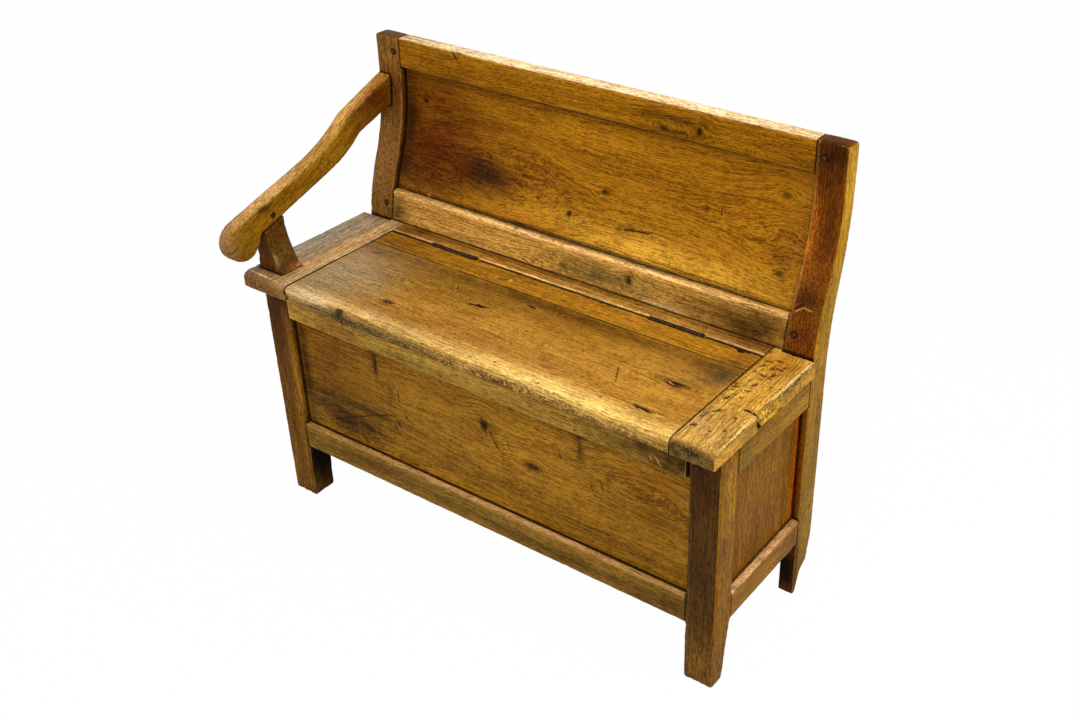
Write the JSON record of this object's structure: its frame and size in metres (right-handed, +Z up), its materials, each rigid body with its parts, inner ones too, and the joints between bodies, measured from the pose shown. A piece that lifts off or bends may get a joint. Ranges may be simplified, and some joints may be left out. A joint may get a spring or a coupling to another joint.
{
  "type": "settle bench",
  "caption": "Small wooden settle with a hinged lid over a panelled storage box, a swayed panelled back and one curved arm.",
  "frame": {"origin": "On the floor, under the middle of the bench's outer box.", "axes": "+X to the right seen from the front, +Y to the back, +Z up."},
  "size_m": [0.9448, 0.4354, 0.794],
  "materials": {
    "walnut_frame": "waxed and worn",
    "walnut_seat": "waxed and worn",
    "walnut_panel": "waxed",
    "pine_inside": "bare",
    "oak_peg": "waxed",
    "hinge_iron": "dark, worn",
    "screw_steel": "dulled"
  },
  "bodies": {
    "frame": {"front_post_left": "walnut_frame", "front_post_right": "walnut_frame", "back_post_left": "walnut_frame", "back_post_right": "walnut_frame", "front_top_rail": "walnut_frame", "front_bottom_rail": "walnut_frame", "rear_top_rail": "walnut_frame", "rear_bottom_rail": "walnut_frame", "left_side_top_rail": "walnut_frame", "left_side_bottom_rail": "walnut_frame", "right_side_top_rail": "walnut_frame", "right_side_bottom_rail": "walnut_frame", "backrest_bottom_rail": "walnut_frame", "backrest_crest_rail": "walnut_frame", "arm": "walnut_frame", "arm_support": "walnut_frame", "seat_end_left": "walnut_seat", "seat_end_right": "walnut_seat", "hinge_board": "walnut_seat", "front_panel": "walnut_panel", "rear_panel": "walnut_panel", "left_side_panel": "walnut_panel", "right_side_panel": "walnut_panel", "backrest_panel": "walnut_panel", "front_ledger": "pine_inside", "rear_ledger": "pine_inside", "floor_board_1": "pine_inside", "floor_board_2": "pine_inside", "floor_board_3": "pine_inside", "floor_board_4": "pine_inside", "floor_board_5": "pine_inside", "crest_pegs": "oak_peg", "back_rail_pegs": "oak_peg", "front_rail_pegs": "oak_peg", "arm_peg": "oak_peg", "hinge_fixed_leaf_left": "hinge_iron", "hinge_pin_left": "hinge_iron", "hinge_fixed_leaf_right": "hinge_iron", "hinge_pin_right": "hinge_iron", "hinge_board_screws": "screw_steel"},
    "lid": {"lid_front_board": "walnut_seat", "lid_rear_board": "walnut_seat", "lid_batten_left": "pine_inside", "lid_batten_right": "pine_inside", "batten_screws": "screw_steel", "hinge_lid_leaf_left": "hinge_iron", "hinge_lid_leaf_right": "hinge_iron", "hinge_lid_screws": "screw_steel"}
  },
  "joints": [
    {"name": "lid_hinge", "type": "hinge", "parent": "frame", "child": "lid", "pos_m": [0.00385, 0.09395, 0.4685], "axis": [-1, 0, 0], "range_deg": [0, 110]}
  ]
}
